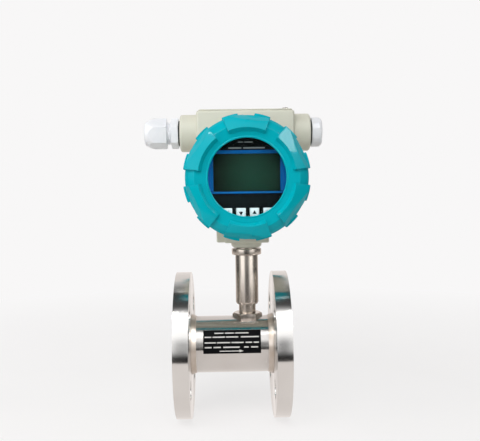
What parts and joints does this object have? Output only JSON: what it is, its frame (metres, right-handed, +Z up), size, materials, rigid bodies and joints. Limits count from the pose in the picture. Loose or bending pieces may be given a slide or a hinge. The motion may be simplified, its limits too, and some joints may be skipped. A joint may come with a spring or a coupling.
{
  "type": "turbine flow meter",
  "caption": "Flanged turbine flow meter: steel tube with a rotor between guides, a stem, and a round two-compartment head with a display window, cable gland and plug.",
  "frame": {"origin": "centre of the inlet flange's raised face, on the flow axis", "axes": "+X along the flow, +Z up the stem to the head, the display faces -Y"},
  "size_m": [0.1689, 0.14, 0.2961],
  "materials": {
    "stainless": "turned and polished stainless steel",
    "polished_stainless": "mirror-polished stainless steel",
    "weld": "ground weld metal",
    "black_plate": "black printed plate",
    "insert_steel": "machined stainless steel",
    "rotor_steel": "magnetic stainless steel",
    "bearing": "hard dark bearing material",
    "cream_paint": "cream paint on cast aluminium",
    "teal_paint": "glossy teal paint on cast aluminium",
    "screw_steel": "plain stainless screws",
    "glass": "clear toughened glass",
    "seal_rubber": "black rubber",
    "face_black": "black face foil with blue bands",
    "lcd_green": "dark green unlit display",
    "key_silver": "silver-white key cap",
    "board_green": "circuit board",
    "brass_post": "brass posts",
    "terminal_green": "green terminal block",
    "nylon_white": "white nylon",
    "ring_black": "black anodised ring"
  },
  "bodies": {
    "meter": {"body_tube": "stainless", "inlet_flange": "stainless", "outlet_flange": "stainless", "inlet_weld": "weld", "outlet_weld": "weld", "name_plate": "black_plate", "upstream_guide": "insert_steel", "downstream_guide": "insert_steel", "inlet_retaining_ring": "screw_steel", "outlet_retaining_ring": "screw_steel", "bearing_bushes": "bearing", "thrust_rings": "bearing", "pickup_boss": "polished_stainless", "pickup": "polished_stainless", "stem_sleeve": "polished_stainless"},
    "rotor": {"rotor": "rotor_steel", "rotor_shaft": "insert_steel"},
    "lock_collar": {"lock_collar": "polished_stainless"},
    "head": {"housing": "cream_paint", "top_plate": "screw_steel", "top_screws": "screw_steel", "ground_screw": "screw_steel", "face_plate": "face_black", "lcd_module": "lcd_green", "display_board": "board_green", "display_posts": "brass_post", "display_screws": "screw_steel", "terminal_block": "terminal_green", "terminal_screws": "screw_steel", "gland_seal": "seal_rubber", "gland_body": "nylon_white"},
    "front_seal": {"front_seal": "seal_rubber"},
    "front_cover": {"front_cover": "teal_paint", "window_glass": "glass", "window_seal": "seal_rubber", "window_ring": "ring_black"},
    "rear_seal": {"rear_seal": "seal_rubber"},
    "rear_cover": {"rear_cover": "teal_paint"},
    "left_key": {"left_key": "key_silver"},
    "down_key": {"down_key": "key_silver"},
    "up_key": {"up_key": "key_silver"},
    "right_key": {"right_key": "key_silver"},
    "gland_insert": {"gland_insert": "seal_rubber"},
    "gland_nut": {"gland_nut": "nylon_white"},
    "plug_seal": {"plug_seal": "seal_rubber"},
    "blanking_plug": {"blanking_plug": "nylon_white"}
  },
  "joints": [
    {"name": "rotor_spin", "type": "hinge", "parent": "meter", "child": "rotor", "pos_m": [0.07, 0, 0], "axis": [1, 0, 0], "continuous": true},
    {"name": "lock_collar_turn", "type": "hinge", "parent": "meter", "child": "lock_collar", "pos_m": [0.07, 0, 0.0898], "axis": [0, 0, 1], "range_deg": [-144, 0]},
    {"name": "head_swivel", "type": "hinge", "parent": "meter", "child": "head", "pos_m": [0.07, 0, 0.0936], "axis": [0, 0, 1], "range_deg": [-170, 170]},
    {"name": "front_cover_travel", "type": "slide", "parent": "head", "child": "front_seal", "axis": [0, -1, 0], "range_m": [0, 0.01]},
    {"name": "front_cover_turn", "type": "hinge", "parent": "front_seal", "child": "front_cover", "pos_m": [0.07, -0.05, 0.16], "axis": [0, -1, 0], "range_deg": [0, 1800]},
    {"name": "rear_cover_travel", "type": "slide", "parent": "head", "child": "rear_seal", "axis": [0, 1, 0], "range_m": [0, 0.01]},
    {"name": "rear_cover_turn", "type": "hinge", "parent": "rear_seal", "child": "rear_cover", "pos_m": [0.07, 0.05, 0.16], "axis": [0, 1, 0], "range_deg": [0, 1800]},
    {"name": "left_key_press", "type": "slide", "parent": "head", "child": "left_key", "axis": [0, 1, 0], "range_m": [0, 0.0005], "stiffness_N_per_m": 400, "springref_m": -0.002},
    {"name": "down_key_press", "type": "slide", "parent": "head", "child": "down_key", "axis": [0, 1, 0], "range_m": [0, 0.0005], "stiffness_N_per_m": 400, "springref_m": -0.002},
    {"name": "up_key_press", "type": "slide", "parent": "head", "child": "up_key", "axis": [0, 1, 0], "range_m": [0, 0.0005], "stiffness_N_per_m": 400, "springref_m": -0.002},
    {"name": "right_key_press", "type": "slide", "parent": "head", "child": "right_key", "axis": [0, 1, 0], "range_m": [0, 0.0005], "stiffness_N_per_m": 400, "springref_m": -0.002},
    {"name": "gland_travel", "type": "slide", "parent": "head", "child": "gland_insert", "axis": [-1, 0, 0], "range_m": [0, 0.003]},
    {"name": "gland_nut_turn", "type": "hinge", "parent": "gland_insert", "child": "gland_nut", "pos_m": [-0.01, 0, 0.204], "axis": [-1, 0, 0], "range_deg": [0, 720]},
    {"name": "plug_travel", "type": "slide", "parent": "head", "child": "plug_seal", "axis": [1, 0, 0], "range_m": [0, 0.009]},
    {"name": "plug_turn", "type": "hinge", "parent": "plug_seal", "child": "blanking_plug", "pos_m": [0.138, 0, 0.204], "axis": [1, 0, 0], "range_deg": [0, 2160]}
  ],
  "couplings": [
    {"joint": "front_cover_travel", "follows": "front_cover_turn", "m_per_rad": 0.000318},
    {"joint": "rear_cover_travel", "follows": "rear_cover_turn", "m_per_rad": 0.000318},
    {"joint": "gland_travel", "follows": "gland_nut_turn", "m_per_rad": 0.0002386},
    {"joint": "plug_travel", "follows": "plug_turn", "m_per_rad": 0.0002386}
  ]
}
